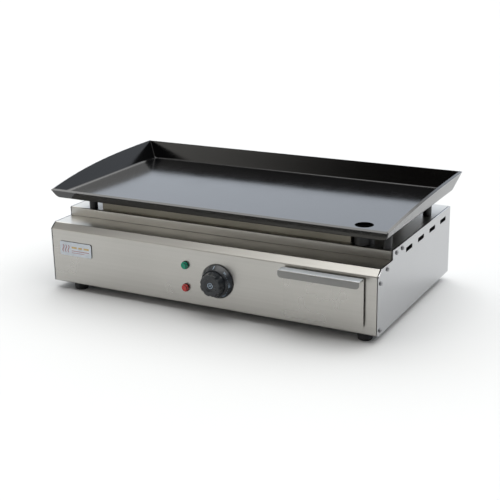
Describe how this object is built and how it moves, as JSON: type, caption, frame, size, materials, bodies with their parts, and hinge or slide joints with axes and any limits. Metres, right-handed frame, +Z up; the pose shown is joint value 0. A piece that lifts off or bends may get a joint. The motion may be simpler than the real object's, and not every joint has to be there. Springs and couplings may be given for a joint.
{
  "type": "electric griddle",
  "caption": "Counter-top electric griddle: raised folded pan with a low front lip and a drain hole over a stainless casing with control knob, lamps and a grease drawer.",
  "frame": {"origin": "on the worktop, under the middle of the whole object's box", "axes": "+Z up, +X to the right as the user stands in front, +Y to the back, so the controls face -Y"},
  "size_m": [0.58, 0.3476, 0.1768],
  "materials": {
    "stainless_sheet": "satin to bright stainless sheet",
    "galvanised_sheet": "plain galvanised sheet",
    "drawer_stainless": "satin stainless sheet",
    "tray_steel": "satin stainless sheet",
    "zinc_hardware": "zinc plated",
    "pan_coating": "smooth dark coating, semi-gloss",
    "drain_black": "black, satin",
    "sleeve_black": "black, satin",
    "ceramic_fibre": "matte fibre board",
    "element_sheath": "dull heat-tinted sheath",
    "steatite": "matte ceramic",
    "thermostat_housing": "matte",
    "knob_black": "semi-gloss",
    "copper": "dull copper",
    "lens_green": "clear coloured plastic",
    "lens_red": "clear coloured plastic",
    "lamp_housing": "matte",
    "gland_black": "matte",
    "brass_stud": "plain",
    "wire_brown": "insulation",
    "wire_blue": "insulation",
    "wire_green_yellow": "insulation",
    "badge_white": "satin",
    "foot_rubber": "matte"
  },
  "bodies": {
    "casing": {"back_panel": "galvanised_sheet", "back_screws": "zinc_hardware", "badge_plate": "badge_white", "base_plate": "galvanised_sheet", "base_screws": "zinc_hardware", "bulb_clips": "galvanised_sheet", "capillary_tube": "copper", "clamp_bars": "galvanised_sheet", "clamp_nuts": "zinc_hardware", "clamp_studs": "zinc_hardware", "drain_tube": "drain_black", "drawer_rail_left": "galvanised_sheet", "drawer_rail_right": "galvanised_sheet", "earth_nuts": "zinc_hardware", "earth_stud": "brass_stud", "earth_wire": "wire_green_yellow", "element_bushes": "steatite", "element_terminals": "zinc_hardware", "foot_front_left": "foot_rubber", "foot_front_right": "foot_rubber", "foot_nuts": "zinc_hardware", "foot_rear_left": "foot_rubber", "foot_rear_right": "foot_rubber", "foot_screws": "zinc_hardware", "front_cover": "stainless_sheet", "gland_body": "gland_black", "gland_cap": "gland_black", "gland_locknut": "gland_black", "green_lamp_body": "lamp_housing", "green_lamp_lens": "lens_green", "griddle_pan": "pan_coating", "heat_box": "stainless_sheet", "heating_element_front": "element_sheath", "heating_element_middle": "element_sheath", "heating_element_rear": "element_sheath", "insulation_board": "ceramic_fibre", "lamp_clips": "zinc_hardware", "lamp_wires": "wire_blue", "live_wire": "wire_brown", "neutral_wire": "wire_blue", "rail_rivets": "zinc_hardware", "red_lamp_body": "lamp_housing", "red_lamp_lens": "lens_red", "sensing_bulb": "copper", "side_panel_left": "stainless_sheet", "side_panel_right": "stainless_sheet", "side_screws": "zinc_hardware", "support_nuts": "zinc_hardware", "support_sleeves": "sleeve_black", "support_studs": "zinc_hardware", "switched_wire": "wire_brown", "terminal_block": "steatite", "terminal_screws": "zinc_hardware", "thermostat_body": "thermostat_housing", "thermostat_screws": "zinc_hardware"},
    "dial": {"knob": "knob_black", "thermostat_shaft": "zinc_hardware"},
    "drawer": {"drawer_front": "drawer_stainless", "drawer_tray": "tray_steel"}
  },
  "joints": [
    {"name": "knob_turn", "type": "hinge", "parent": "casing", "child": "dial", "pos_m": [0.0252, -0.1602, 0.0552], "axis": [0, 1, 0], "range_deg": [0, 300]},
    {"name": "drawer_slide", "type": "slide", "parent": "casing", "child": "drawer", "axis": [0, -1, 0], "range_m": [0, 0.175]}
  ]
}
